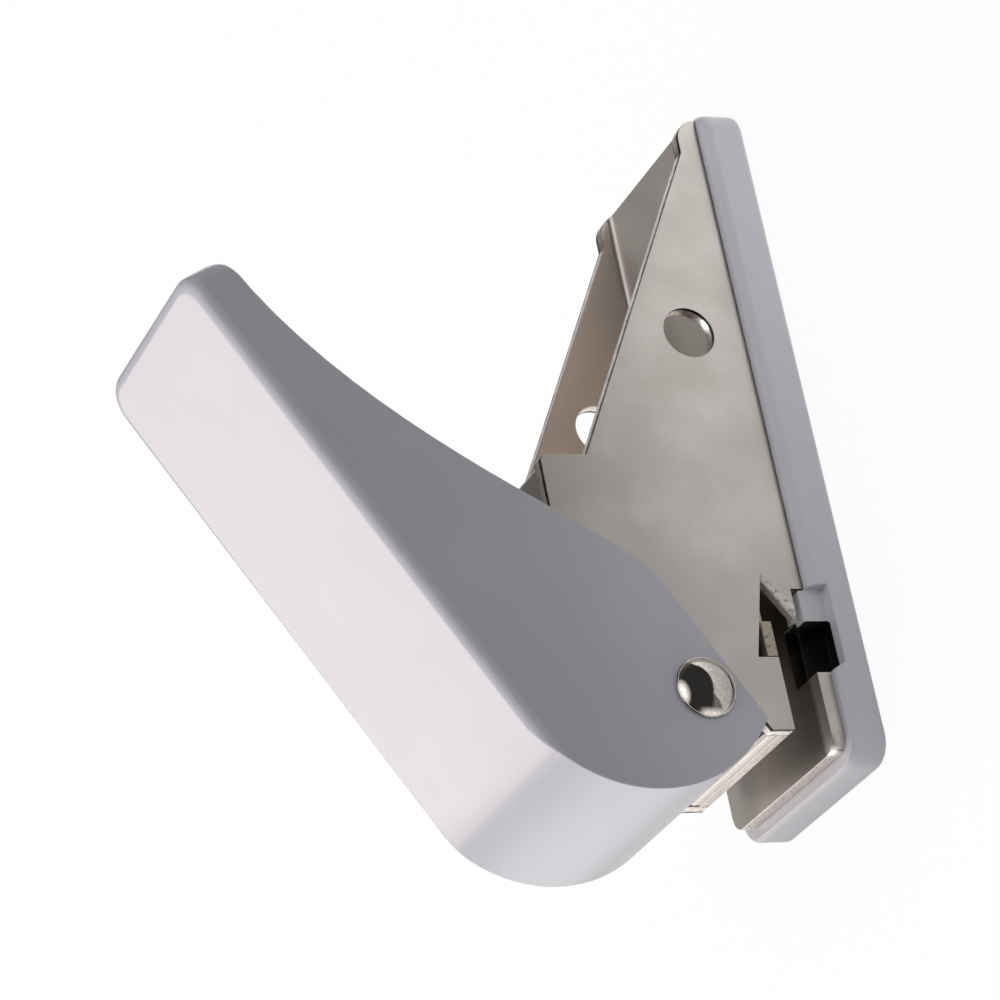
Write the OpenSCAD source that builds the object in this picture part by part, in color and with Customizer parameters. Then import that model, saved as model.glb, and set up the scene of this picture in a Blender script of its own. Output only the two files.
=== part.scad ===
// Dart flight punch: a hand lever drives a flat blade through a throat slot into a die.
// X runs from the punch end to the nose, Z is up. The origin is the middle of the shoe's underside.
// Places along the part are given from the heel, the punch end of the steel floor, towards the nose.
// Heights are given above the floor's top face, or above the pivot for what turns with the lever.

/* [Base shoe] */
// Height of the plastic shoe under the steel floor
shoe_h = 3.5; // [3:0.1:6]
// How far the shoe stands out past the frame on each side
shoe_ledge = 1.2; // [0.8:0.1:2]
// How far the shoe stands out past the nose of the frame
shoe_nose_lip = 0.8; // [0.6:0.1:4]
// How far the shoe stands out past the heel of the frame
shoe_heel_lip = 1.2; // [1.2:0.1:4]
// Radius of the shoe's upright corners
shoe_corner_r = 2.4; // [2:0.1:4]
// Radius of the shoe's upper edge
shoe_top_r = 1.1; // [0.6:0.1:1.6]
// Radius of the shoe's lower edge
shoe_foot_r = 0.6; // [0.3:0.1:1.2]
// Length of the chute for the punched chips
chute_l = 7.0; // [5:0.5:9]
// Width of the chute for the punched chips
chute_w = 9.0; // [6:0.5:11]
// How far the shoe's rim stands up beside the frame
rim_rise = 0.5; // [0.1:0.05:0.7]
// Depth of the notch in the shoe's side, below the floor's top face
notch_depth = 2.5; // [1.8:0.1:3]
// Length of the notch's slope up to the die tongue
notch_slope = 0.6; // [0.4:0.1:3]
// Depth of the pocket behind the notch, below the floor's top face
pocket_depth = 3.9; // [3.2:0.1:4.2]
// Overhang of the snap hook on the floor
hook_bite = 0.4; // [0.2:0.05:0.6]
// Thickness of the snap hook's stem behind its broad foot
hook_stem = 0.5; // [0.4:0.05:0.8]
// How far the hook's broad foot stays below the floor's top face
hook_drop = 0.2; // [0:0.05:0.5]
// How far the hook's broad foot reaches past the tooth
hook_past = 0.4; // [0.2:0.1:0.8]

/* [Frame] */
// Length of the frame's floor
frame_len = 60.1; // [55:0.1:72]
// Width over the two side plates
frame_w = 18.0; // [16.4:0.1:22]
// Thickness of the frame's steel sheet
sheet_t = 1.3; // [1.2:0.1:1.6]
// Outer radius of the folds between floor and side plates
fold_r = 0.9; // [0.8:0.1:2]
// Inner radius of the folds between floor and side plates
fold_inner_r = 0.6; // [0.2:0.1:0.7]
// How far the die tongue stands out past the side plates
tongue_overhang = 0.4; // [0:0.1:0.6]
// Length of the die tongue at the heel
tongue_len = 6.9; // [5:0.1:7.5]
// Radius of the die tongue's corners
tongue_r = 1.5; // [0.5:0.1:2.5]
// Height of the side plates at the nose
nose_h = 1.25; // [0.8:0.05:2.5]
// Length of the level stretch at the nose
nose_land = 3.4; // [3:0.1:6]
// Radius of the side plates' nose corner
nose_r = 2.2; // [0.8:0.1:2.4]
// Distance from the heel to the step in the side plates
step_at = 26.9; // [25.5:0.1:29]
// Height of the step in the side plates
step_rise = 4.3; // [3:0.1:7]
// Height of the side plates' top above the pivot
lobe_up = 9.6; // [9.2:0.1:10.2]
// Radius of the side plates' upper corner over the heel
lobe_r = 8.0; // [6:0.1:9]
// Radius of the side plates' upper corner at the step
step_r = 0.7; // [0.3:0.1:1.5]
// Radius of the side plates' edge round the pivot
pivot_boss_r = 4.0; // [3.5:0.1:4.2]
// How far the neck's bend under the pivot lies behind it
neck_back = 0.6; // [0.3:0.1:0.8]
// How far the neck's bend lies below the edge round the pivot
neck_down = 0.8; // [0.4:0.1:1.4]
// Distance from the heel to the lanyard hole in the front plate
lanyard_at = 38.7; // [35:0.1:42]
// Height of the lanyard hole in the front plate
lanyard_up = 4.5; // [3.8:0.1:5]
// Distance from the heel to the lanyard hole in the back plate
lanyard_back_at = 38.0; // [35:0.1:42]
// Height of the lanyard hole in the back plate
lanyard_back_up = 5.6; // [3.8:0.1:6]
// Diameter of the lanyard holes
lanyard_d = 4.7; // [3:0.1:5.4]

/* [Throat] */
// Height of the throat slot
throat_gap = 2.95; // [2:0.05:3.4]
// Distance from the heel to the throat's deepest point
throat_depth = 15.9; // [15:0.1:18]
// Distance from the heel to the upper jaw's edge
jaw_setback = 2.0; // [1.5:0.1:3]
// Height of the side plates' edge at the upper jaw
jaw_h = 2.1; // [1.6:0.1:2.2]
// Distance from the heel to the near end of the window over the throat
window_at = 8.5; // [7.5:0.1:9]
// Height of the window over the throat at its near end
window_h = 1.87; // [1.4:0.05:2.4]
// Reach of the tooth that ends the throat
tooth_reach = 3.9; // [3:0.1:4.2]
// Height of the tooth's lower edge above the floor
tooth_up = 0.4; // [0.35:0.05:0.8]
// How far the floor's relief ends short of the throat's deepest point
relief_short = 1.3; // [0.8:0.1:2]
// How far the floor's relief reaches in past the side plates
relief_inset = 0.3; // [0.2:0.1:0.8]
// How far the floor's waist over the pocket reaches in past the side plates
waist_inset = 2.0; // [0.4:0.1:2.2]

/* [Guide bracket] */
// Thickness of the guide bracket's sheet
guide_t = 1.0; // [0.8:0.1:1.2]
// Inner radius of the guide bracket's folds
guide_fold_r = 0.2; // [0.1:0.1:1.2]
// How far the upper web lies below the side plates' top
guide_inset = 0.1; // [0.1:0.1:0.8]
// How far the bracket's front stands back from the step
guide_setback = 0.1; // [0.1:0.1:2]
// Reach of the upper web from the punch axis towards the heel
web_reach = 4.0; // [3.6:0.1:4.4]
// Length of the bracket's tabs at the upper edge
top_tab_len = 4.0; // [2:0.1:5]
// Distance from the heel to the tabs at the upper edge
top_tab_at = 15.5; // [14.5:0.1:16.5]

/* [Pivot] */
// Distance from the heel to the pivot
pivot_at = 5.0; // [4.9:0.05:5.6]
// Height of the pivot above the floor
pivot_up = 11.4; // [11:0.05:13]
// Diameter of the rivet's shank
rivet_d = 3.0; // [2.4:0.1:3.4]
// Diameter of the rivet's domed heads
rivet_head_d = 5.3; // [5:0.1:7]
// Height of the rivet's domed heads
rivet_head_h = 1.5; // [1:0.1:2]
// Height of the straight rim under the dome
rivet_rim_h = 0.3; // [0.2:0.05:0.5]
// Outer diameter of the spacer tube
spacer_d = 5.0; // [4.4:0.1:6]
// Depth of the shank's seat in the cap
cap_seat = 0.6; // [0.4:0.05:0.8]

/* [Punch] */
// Distance from the pivot to the punch axis
punch_arm = 7.2; // [7:0.05:7.6]
// Diameter of the plunger
plunger_d = 5.0; // [4.9:0.05:5.4]
// Rise of the plunger above the upper web at rest
plunger_rise = 7.8; // [7.5:0.1:8.3]
// Radius of the plunger's domed end
plunger_dome_r = 4.0; // [3:0.1:6]
// Width of the blade across the part
blade_w = 4.6; // [3.6:0.1:4.6]
// Thickness of the blade
blade_t = 1.8; // [1.2:0.1:1.8]
// Length of blade held in the plunger's slot
blade_seat = 4.5; // [3.5:0.1:6]
// Depth of the shear notch in the cutting edge
blade_notch = 0.5; // [0.2:0.05:0.8]
// How far the blade enters the floor when closed
die_entry = 1.0; // [0.6:0.05:1.15]
// Height of the blade inside the upper jaw at rest
blade_retract = 0.1; // [0.05:0.05:0.3]
// Diameter of the blade's cross pin
blade_pin_d = 1.2; // [1:0.1:1.5]

/* [Return spring] */
// Diameter of the spring wire
wire_d = 0.7; // [0.5:0.05:0.8]
// Number of turns
spring_turns = 6; // [4:1:7]
// Thickness of the washer on the spring
washer_t = 0.5; // [0.4:0.1:0.8]
// Diameter of the washer
washer_d = 7.8; // [7.4:0.1:8.4]
// Thickness of the retaining clip
clip_t = 0.6; // [0.5:0.1:0.8]
// Diameter of the retaining clip
clip_d = 8.4; // [7.4:0.1:8.6]
// Width of the retaining clip's mouth
clip_mouth = 2.7; // [2:0.1:3.4]
// Diameter of the plunger in the clip's groove
groove_d = 4.0; // [3.6:0.1:4.3]

/* [Lever] */
// Angle of the lever's top to the floor at rest
lever_open = 29.8; // [29:0.1:31]
// Height of the lever's top face above the pivot
lever_top_up = 15.4; // [15.2:0.1:16]
// Depth of the lever's lower edge below the pivot
lever_drop = 3.15; // [2.8:0.05:3.2]
// Distance from the pivot to the lever's tip
lever_reach = 51.5; // [48:0.1:60]
// Thickness of the lever at its tip
lever_tip_t = 4.15; // [3.6:0.05:5.5]
// Distance from the pivot to where the lower edge leaves the level
belly_at = 10.0; // [9:0.1:11]
// Length over which the lower edge starts to rise
belly_start = 4.3; // [3.5:0.1:8]
// Length over which the lower edge runs out to the tip
belly_run = 18.2; // [14:0.1:20]
// Rise of the lower edge in its run to the tip
belly_rise = 0.55; // [0.3:0.05:2]
// Radius of the lever's rounded tail
tail_r = 12.6; // [12.4:0.05:13]
// Distance from the pivot forwards to the centre of the tail's round
tail_at = 6.25; // [6.1:0.05:6.4]
// Thickness of the lever's top wall
lever_top_t = 1.4; // [1.2:0.1:1.6]
// Thickness of the lever's cheeks
cheek_t = 1.65; // [1:0.05:2.4]
// Thickness of the lever's tail wall
tail_t = 1.1; // [1:0.1:1.2]
// Thickness of the lever's wall at the tip
tip_wall = 2.0; // [1.5:0.1:3]
// Radius of the lever's top edges
lever_edge_r = 1.2; // [0.4:0.1:2]
// Radius of the tip's corners seen from above
tip_corner_r = 3.0; // [2.2:0.1:6]
// Radius of the tip's lower edge
tip_edge_r = 1.6; // [0.6:0.1:1.8]
// Width of the cam rib under the lever's top
cam_w = 6.0; // [4:0.1:8]
// Number of cross ribs under the lever's top
rib_count = 3; // [1:1:3]
// Distance from the pivot to the first cross rib
rib_at = 26; // [25:0.5:30]
// Distance between the cross ribs
rib_pitch = 8; // [4:0.5:8.5]
// Thickness of the cross ribs under the lever's top
rib_t = 1.0; // [0.8:0.1:1.5]
// Height of the cross ribs under the lever's top
rib_h = 2.0; // [1:0.1:2.5]

/* [Clearances] */
// Gap between a cheek and a side plate
cheek_gap = 0.15; // [0.1:0.05:0.4]
// Radial gap of the cheeks on the rivet
running_gap = 0.05; // [0.02:0.01:0.09]
// Gap between pieces that are fixed to each other
seat_gap = 0.03; // [0.02:0.01:0.05]
// Gap between the blade and the steel that it passes through
blade_gap = 0.05; // [0.03:0.01:0.09]
// Gap between a rivet head and the cheek
head_gap = 0.1; // [0.05:0.05:0.3]
// Gap between the snap hooks and the frame
hook_gap = 0.1; // [0.05:0.05:0.15]
// Gap between the plunger's end and the cam rib at rest
cam_gap = 0.08; // [0.04:0.02:0.2]
// Gap between the retaining clip and the upper web at rest
clip_gap = 0.1; // [0.05:0.05:0.2]
// Gap between the plunger's shoulder and the lower web when closed
shoulder_gap = 0.3; // [0.2:0.05:0.6]

/* [Hidden] */
$fn = 64;
past = 1; // extra length of a cut past the face it opens on
arc_step = 4; // degrees between the points of a drawn arc
boss_turn = 50; // degrees of edge round the pivot before the neck

// Main places
shoe_len = frame_len + shoe_nose_lip + shoe_heel_lip;
shoe_w = frame_w + 2 * shoe_ledge;
heel_x = shoe_heel_lip - shoe_len / 2;
floor_z = shoe_h + sheet_t;
rim_top = shoe_h + rim_rise;
pivot_z = floor_z + pivot_up;
inside_w = frame_w - 2 * sheet_t;
tongue_w = frame_w + 2 * tongue_overhang;
punch_at = pivot_at + punch_arm;

// Floor relief and shoe hooks beside the throat's end
relief_y = inside_w / 2 - relief_inset;
waist_y = inside_w / 2 - waist_inset;
relief_end = throat_depth - relief_short;
tooth_tip = throat_depth - tooth_reach;
hook_t = frame_w / 2 - relief_y - hook_gap;
hook_root = relief_end - hook_gap;
hook_tip = tooth_tip - hook_past;

// Heights above the floor
web_low = throat_gap;
web_low_top = web_low + guide_t;
lobe_top = pivot_up + lobe_up;
web_high_top = lobe_top - guide_inset;
web_high = web_high_top - guide_t;
blade_tip = web_low + blade_retract;
stroke = blade_tip + die_entry;
shoulder = web_low_top + stroke + shoulder_gap;
clip_top = web_high - clip_gap;
clip_low = clip_top - clip_t;
washer_low = clip_low - seat_gap - washer_t;
plunger_top = web_high_top + plunger_rise;

// Lever
lever_gap_w = frame_w + 2 * cheek_gap;
lever_w = lever_gap_w + 2 * cheek_t;
lever_inner_up = lever_top_up - lever_top_t;
tail_up = lever_top_up - tail_r;
close_angle = stroke / punch_arm * 180 / PI;
cam_h = plunger_top - pivot_up + cam_gap;
cam_lead = 2.3; // degrees of cam kept ahead of the rest position
cam_trail = 4; // degrees of cam kept past the closed position
cam_steps = 16;
belly_steps = 20;

// Spring
spring_r = plunger_d / 2 + wire_d;
spring_low = web_low_top + seat_gap;
spring_high = washer_low - seat_gap;
rings_per_turn = 8;
wire_sides = 6;

echo(str("stroke ", stroke, " mm, closing angle ", close_angle, " degrees"));

// Point at an angle on a circle
function polar(c, r, a) = [c[0] + r * cos(a), c[1] + r * sin(a)];

// Points of an arc from one angle to another
function arc(c, r, a0, a1) =
    let (n = max(2, ceil(abs(a1 - a0) / arc_step)))
    [for (i = [0:n]) polar(c, r, a0 + (a1 - a0) * i / n)];

// Point on a cubic curve with four control points
function cubic(p, t) =
    p[0] * pow(1 - t, 3) + p[1] * 3 * pow(1 - t, 2) * t + p[2] * 3 * (1 - t) * t * t + p[3] * pow(t, 3);

// Moves a shape to a place along the part and a height above the floor
module at(along, up) {
    translate([heel_x + along, 0, floor_z + up]) children();
}

// Extrudes a side view, drawn in X and Z, across the part
module across(w) {
    rotate([90, 0, 0]) linear_extrude(w, center = true) children();
}

// Straight round bar or bore across the part
module cross_bar(r, w) {
    rotate([90, 0, 0]) cylinder(r = r, h = w, center = true);
}

// Rectangle with two rounded lower corners, standing on its lower edge
module trough(w, h, r) {
    translate([-w / 2, r]) square([w, h - r]);
    translate([-w / 2 + r, 0]) square([w - 2 * r, h]);
    for (s = [-1, 1]) translate([s * (w / 2 - r), r]) circle(r);
}

// Rectangle with rounded corners, centred
module round_rect(l, w, r) {
    square([l - 2 * r, w], center = true);
    square([l, w - 2 * r], center = true);
    for (sx = [-1, 1], sy = [-1, 1]) translate([sx * (l / 2 - r), sy * (w / 2 - r)]) circle(r);
}

// Half section of the shoe's edge, from an inner line out to its rounded rim
module rim_section(reach) {
    square([reach - shoe_top_r, rim_top]);
    translate([0, shoe_foot_r]) square([reach, rim_top - shoe_foot_r - shoe_top_r]);
    square([reach - shoe_foot_r, rim_top - shoe_top_r]);
    translate([reach - shoe_top_r, rim_top - shoe_top_r]) circle(shoe_top_r);
    translate([reach - shoe_foot_r, shoe_foot_r]) circle(shoe_foot_r);
}

// Shoe without its cuts: a slab with round corners and round upper and lower edges
module shoe_slab() {
    straight_l = shoe_len - 2 * shoe_corner_r;
    straight_w = shoe_w - 2 * shoe_corner_r;
    for (sx = [-1, 1], sy = [-1, 1])
        translate([sx * straight_l / 2, sy * straight_w / 2, 0]) rotate_extrude() rim_section(shoe_corner_r);
    for (s = [0, 180]) rotate([0, 0, s]) {
        rotate([90, 0, 90]) linear_extrude(straight_l, center = true) rim_section(shoe_w / 2);
        rotate([90, 0, 0]) linear_extrude(straight_w, center = true) rim_section(shoe_len / 2);
    }
}

// Recess in the shoe's upper side that the frame lies in
module frame_seat() {
    at(-seat_gap - shoe_heel_lip, -sheet_t) rotate([90, 0, 90])
        linear_extrude(shoe_heel_lip + frame_len + 2 * seat_gap)
            trough(frame_w + 2 * seat_gap, shoe_h, fold_r + seat_gap);
    at(0, -sheet_t) translate([-shoe_heel_lip - past, -shoe_w / 2 - past, 0])
        cube([shoe_heel_lip + past + tongue_len + seat_gap, shoe_w + 2 * past, shoe_h]);
}

// Side view of a cut beside the throat that slopes up to the die tongue
module throat_cut(end, depth) {
    polygon([[end, past], [end, -depth], [tongue_len + notch_slope, -depth], [tongue_len, -sheet_t],
        [tongue_len, past]]);
}

// Notch in the shoe's side, and the deeper pocket between its sill and the floor's waist
module shoe_notch() {
    difference() {
        union() {
            at(0, 0) across(shoe_w + 2 * past) throat_cut(hook_root, notch_depth);
            at(0, 0) across(frame_w) throat_cut(tooth_tip, pocket_depth);
        }
        cube([shoe_len, 2 * waist_y, 4 * shoe_h], center = true);
        at(tooth_tip, 0) translate([0, -relief_y, -shoe_h]) cube([shoe_len, 2 * relief_y, shoe_h]);
    }
}

// Snap hook that stands in the floor's relief and bites over the floor
module shoe_hook() {
    at(tooth_tip, 0) {
        translate([hook_tip - tooth_tip, relief_y + hook_gap, -notch_depth - seat_gap])
            cube([hook_root - hook_tip, hook_t, notch_depth + seat_gap - hook_drop]);
        translate([0, relief_y + hook_gap, -notch_depth - seat_gap])
            cube([hook_root - tooth_tip, hook_stem, notch_depth + tooth_up - hook_gap + seat_gap]);
        translate([0, relief_y - hook_bite, seat_gap])
            cube([hook_root - tooth_tip, hook_bite + 2 * hook_gap, tooth_up - hook_gap - seat_gap]);
    }
}

// Plastic shoe under the floor
module base_shoe() color("#b9b8bd") {
    difference() {
        shoe_slab();
        frame_seat();
        shoe_notch();
        at(punch_at, 0) cube([chute_l, chute_w, 4 * shoe_h], center = true);
    }
    shoe_hook();
    mirror([0, 1, 0]) shoe_hook();
}

// Side view of a side plate, from the heel and the floor
module plate_outline() {
    pivot = [pivot_at, pivot_up];
    lobe_c = [pivot_at - pivot_boss_r + lobe_r, lobe_top - lobe_r];
    jaw_top = throat_gap + jaw_h;
    neck = [pivot_at - neck_back, pivot_up - pivot_boss_r - neck_down];
    polygon(concat(
        [[relief_end, -sheet_t], [frame_len, -sheet_t]],
        arc([frame_len - nose_r, nose_h - nose_r], nose_r, 0, 90),
        [[frame_len - nose_land, nose_h], [step_at, lobe_top - step_rise]],
        arc([step_at - step_r, lobe_top - step_r], step_r, 0, 90),
        arc(lobe_c, lobe_r, 90, 180),
        arc(pivot, pivot_boss_r, 180, 180 + boss_turn),
        [neck, [jaw_setback, jaw_top], [jaw_setback, throat_gap], [window_at, throat_gap],
            [window_at, throat_gap + window_h], [throat_depth, throat_gap], [tooth_tip, tooth_up],
            [relief_end, tooth_up]]));
}

// Notches in the side plates for the bracket's upper tabs
module top_tab_slots() {
    at(top_tab_at - seat_gap, web_high - seat_gap)
        translate([0, -frame_w / 2 - past, 0])
            cube([top_tab_len + 2 * seat_gap, frame_w + 2 * past, lobe_top - web_high + past]);
}

// Opening for the blade, centred on the punch axis
module blade_slot(gap) {
    at(punch_at, 0)
        cube([blade_t + 2 * gap, blade_w + 2 * gap, 4 * throat_gap], center = true);
}

// Flat die tongue between the relief notches and the heel
module die_tongue() {
    at(0, -sheet_t) linear_extrude(sheet_t) {
        translate([0, -tongue_w / 2 + tongue_r]) square([tongue_len, tongue_w - 2 * tongue_r]);
        translate([tongue_r, -tongue_w / 2]) square([tongue_len - tongue_r, tongue_w]);
        for (s = [-1, 1]) translate([tongue_r, s * (tongue_w / 2 - tongue_r)]) circle(tongue_r);
        translate([0, -waist_y]) square([throat_depth, 2 * waist_y]);
        translate([tooth_tip, -relief_y]) square([throat_depth - tooth_tip, 2 * relief_y]);
    }
}

// Folded channel with the side plates' outline
module frame_channel() {
    channel_h = lobe_top + sheet_t + past;
    intersection() {
        at(0, -sheet_t) rotate([90, 0, 90]) linear_extrude(frame_len) difference() {
            trough(frame_w, channel_h, fold_r);
            translate([0, sheet_t]) trough(inside_w, channel_h, fold_inner_r);
        }
        at(0, 0) across(frame_w + 2 * past) plate_outline();
    }
}

// Bore for a lanyard hole through one side plate
module lanyard_bore(along, up, side) {
    at(along, up) translate([0, side * (frame_w - sheet_t) / 2, 0])
        cross_bar(lanyard_d / 2, sheet_t + 2 * past);
}

// Folded steel frame: floor, side plates and die tongue
module frame() color("#b4b1ad") difference() {
    union() {
        frame_channel();
        die_tongue();
    }
    at(pivot_at, pivot_up) cross_bar(rivet_d / 2 + seat_gap, frame_w + 2 * past);
    lanyard_bore(lanyard_at, lanyard_up, -1);
    lanyard_bore(lanyard_back_at, lanyard_back_up, 1);
    blade_slot(blade_gap);
    top_tab_slots();
}

// Side view of the bracket's sheet: lower web, front wall and upper web
module guide_outline() {
    front = step_at - guide_setback;
    rise = web_high_top - web_low;
    difference() {
        translate([front - rise / 2, web_low + rise / 2]) round_rect(rise, rise, guide_fold_r + guide_t);
        translate([front - rise / 2, web_low + rise / 2])
            round_rect(rise - 2 * guide_t, rise - 2 * guide_t, guide_fold_r);
        translate([front - rise - past, web_low - past]) square([rise / 2 + past, rise + 2 * past]);
    }
    translate([jaw_setback, web_low]) square([front - rise / 2 - jaw_setback, guide_t]);
    translate([punch_at - web_reach, web_high])
        square([front - rise / 2 - punch_at + web_reach, guide_t]);
}

// Tabs of the bracket that end flush with the side plates
module guide_tabs() {
    roof_slope = window_h / (throat_depth - window_at);
    low_tab_end = throat_depth - (guide_t + 2 * seat_gap) / roof_slope;
    at(window_at + seat_gap, web_low) translate([0, -frame_w / 2, 0])
        cube([low_tab_end - window_at - seat_gap, frame_w, guide_t]);
    at(top_tab_at, web_high) translate([0, -frame_w / 2, 0])
        cube([top_tab_len, frame_w, guide_t]);
}

// Folded steel bracket that guides the punch and forms the upper jaw
module guide_bracket() color("#a79d94") difference() {
    union() {
        at(0, 0) across(inside_w - 2 * seat_gap) guide_outline();
        guide_tabs();
    }
    blade_slot(blade_gap);
    at(punch_at, web_high - past)
        cylinder(r = plunger_d / 2 + running_gap, h = guide_t + 2 * past);
}

// Domed head with a straight rim, standing on its flat face
module dome_head() {
    head_r = rivet_head_d / 2;
    dome_h = rivet_head_h - rivet_rim_h;
    ball_r = (head_r * head_r + dome_h * dome_h) / (2 * dome_h);
    cylinder(r = head_r, h = rivet_rim_h);
    intersection() {
        translate([0, 0, rivet_head_h - ball_r]) sphere(ball_r);
        translate([0, 0, rivet_rim_h]) cylinder(r = head_r, h = dome_h);
    }
}

// Rivet with its dome on the front side
module pivot_rivet() color("#d9d9d9") at(pivot_at, pivot_up) {
    seat = lever_w / 2 + head_gap;
    translate([0, -seat, 0]) rotate([90, 0, 0]) dome_head();
    translate([0, -seat, 0]) rotate([-90, 0, 0])
        cylinder(r = rivet_d / 2, h = 2 * seat + cap_seat - seat_gap);
}

// Domed cap pressed on the rivet's other end
module rivet_cap() color("#d9d9d9") at(pivot_at, pivot_up)
    translate([0, lever_w / 2 + head_gap, 0]) rotate([-90, 0, 0]) difference() {
        dome_head();
        translate([0, 0, -past]) cylinder(r = rivet_d / 2 + seat_gap, h = past + cap_seat);
    }

// Tube between the side plates
module pivot_spacer() color("#8f8f8f") at(pivot_at, pivot_up) difference() {
    cross_bar(spacer_d / 2, inside_w - 2 * seat_gap);
    cross_bar(rivet_d / 2 + seat_gap, inside_w + 2 * past);
}

// Round plunger with a domed end, a clip groove and a slot for the blade
module punch_plunger() color("#9a9a9c") difference() {
    intersection() {
        at(punch_at, shoulder) cylinder(r = plunger_d / 2, h = plunger_top - shoulder);
        union() {
            at(punch_at, plunger_top - plunger_dome_r) sphere(plunger_dome_r);
            at(punch_at, shoulder) cylinder(r = plunger_d, h = plunger_top - plunger_dome_r - shoulder);
        }
    }
    at(punch_at, clip_low - seat_gap) difference() {
        cylinder(r = plunger_d, h = clip_t + 2 * seat_gap);
        translate([0, 0, -past]) cylinder(r = groove_d / 2, h = clip_t + 2 * past);
    }
    at(punch_at, shoulder) translate([-blade_t / 2 - seat_gap, -plunger_d, -past])
        cube([blade_t + 2 * seat_gap, 2 * plunger_d, past + blade_seat + seat_gap]);
    pin_bore();
}

// Bore for the cross pin through plunger and blade
module pin_bore() {
    at(punch_at, shoulder + blade_seat / 2) rotate([0, 90, 0])
        cylinder(r = blade_pin_d / 2 + seat_gap, h = 2 * plunger_d, center = true);
}

// Flat blade with a shallow notch in its cutting edge
module punch_blade() color("#c4c4c6") difference() {
    at(punch_at, blade_tip) rotate([90, 0, 90]) linear_extrude(blade_t, center = true)
        polygon([[-blade_w / 2, 0], [0, blade_notch], [blade_w / 2, 0],
            [blade_w / 2, shoulder + blade_seat - blade_tip],
            [-blade_w / 2, shoulder + blade_seat - blade_tip]]);
    pin_bore();
}

// Cross pin that holds the blade in the plunger
module blade_pin() color("#77777a") at(punch_at, shoulder + blade_seat / 2) rotate([0, 90, 0])
    cylinder(r = blade_pin_d / 2, h = plunger_d - blade_pin_d / 2, center = true);

// Flat washer on the spring
module spring_washer() color("#b0b0b2") at(punch_at, washer_low) difference() {
    cylinder(r = washer_d / 2, h = washer_t);
    translate([0, 0, -past]) cylinder(r = plunger_d / 2 + running_gap, h = washer_t + 2 * past);
}

// Open clip in the plunger's groove
module retaining_clip() color("#6f7073") at(punch_at, clip_low) difference() {
    cylinder(r = clip_d / 2, h = clip_t);
    translate([0, 0, -past]) cylinder(r = groove_d / 2 + seat_gap, h = clip_t + 2 * past);
    translate([0, -clip_mouth / 2, -past]) cube([clip_d, clip_mouth, clip_t + 2 * past]);
}

// Centre line of the spring wire: a straight end, the helix, a straight end
function spring_path() =
    let (rings = spring_turns * rings_per_turn,
        low = spring_low + wire_d / 2,
        rise = spring_high - spring_low - wire_d,
        helix = [for (i = [0:rings]) let (a = 360 * i / rings_per_turn)
            [spring_r * cos(a), spring_r * sin(a), low + rise * i / rings]])
    concat([helix[0] - [0, wire_d, 0]], helix, [helix[rings] + [0, wire_d, 0]]);

// Cross product made a unit vector
function side_of(a, b) = let (c = cross(a, b)) c / norm(c);

// Ring of points round the wire at one point of its path
function wire_ring(path, i) =
    let (last = len(path) - 1,
        ahead = path[min(i + 1, last)] - path[max(i - 1, 0)],
        along = i == 0 || i == last ? [0, 1, 0] : ahead / norm(ahead),
        out = side_of(along, [0, 0, 1]),
        up = side_of(out, along))
    [for (k = [0:wire_sides - 1]) let (a = 360 * k / wire_sides)
        path[i] + (out * cos(a) + up * sin(a)) * wire_d / 2];

// Least gap of the wire to itself, between points at least half a turn apart
function wire_gap(path) =
    min([for (i = [0:len(path) - 1], j = [i + rings_per_turn / 2:1:len(path) - 1])
        norm(path[i] - path[j])]) - wire_d;

// Triangles between the rings of a tube, with closed ends
function tube_faces(rings, sides) = concat(
    [for (i = [0:rings - 2], k = [0:sides - 1])
        let (a = i * sides + k, b = i * sides + (k + 1) % sides)
        each [[a, a + sides, b], [b, a + sides, b + sides]]],
    [for (k = [1:sides - 2]) [0, k, k + 1]],
    [for (k = [1:sides - 2]) let (e = (rings - 1) * sides) [e, e + k + 1, e + k]]);

// Coil spring round the plunger
module return_spring() color("#8a8a8d") {
    path = spring_path();
    echo(str("least gap of the spring wire to itself ", wire_gap(path), " mm"));
    at(punch_at, 0) polyhedron(
        points = [for (i = [0:len(path) - 1]) each wire_ring(path, i)],
        faces = tube_faces(len(path), wire_sides));
}

// Turns a lever shape, drawn with its top level and its origin at the pivot, to its open place
module in_lever() {
    at(pivot_at, pivot_up) rotate([0, -lever_open, 0]) children();
}

// Side view of the lever's outside
module lever_outline() {
    tail_c = [tail_at, tail_up];
    tail_end = asin((-lever_drop - tail_up) / tail_r);
    tip_low = lever_top_up - lever_tip_t;
    tip_c = lever_reach - tip_edge_r;
    belly = [[belly_at, -lever_drop], [belly_at + belly_start, -lever_drop],
        [tip_c - belly_run, tip_low - belly_rise], [tip_c, tip_low]];
    polygon(concat(
        arc(tail_c, tail_r, 90, 180 - tail_end),
        [for (i = [0:belly_steps]) cubic(belly, i / belly_steps)],
        arc([tip_c, tip_low + tip_edge_r], tip_edge_r, -90, 0),
        [[lever_reach, lever_top_up]]));
}

// Side view of the lever's hollow
module lever_hollow() {
    floor_down = 2 * tail_r;
    translate([tail_at, -floor_down]) square([lever_reach - tip_wall - tail_at, floor_down + lever_inner_up]);
    translate([tail_at, tail_up]) circle(tail_r - tail_t);
}

// Point of the cam rib that meets the plunger's end at one closing angle
function cam_point(closing) =
    let (tilt = lever_open - closing, h = cam_h - punch_arm * closing * PI / 180)
    [punch_arm * cos(tilt) + h * sin(tilt), h * cos(tilt) - punch_arm * sin(tilt)];

// Side view of the cam rib, which moves the plunger evenly with the lever's angle
module cam_outline() {
    first = -cam_lead;
    last = close_angle + cam_trail;
    curve = [for (i = [0:cam_steps]) cam_point(first + (last - first) * i / cam_steps)];
    root = lever_inner_up + lever_top_t / 2;
    polygon(concat(curve, [[curve[cam_steps][0], root], [curve[0][0], root]]));
}

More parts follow.
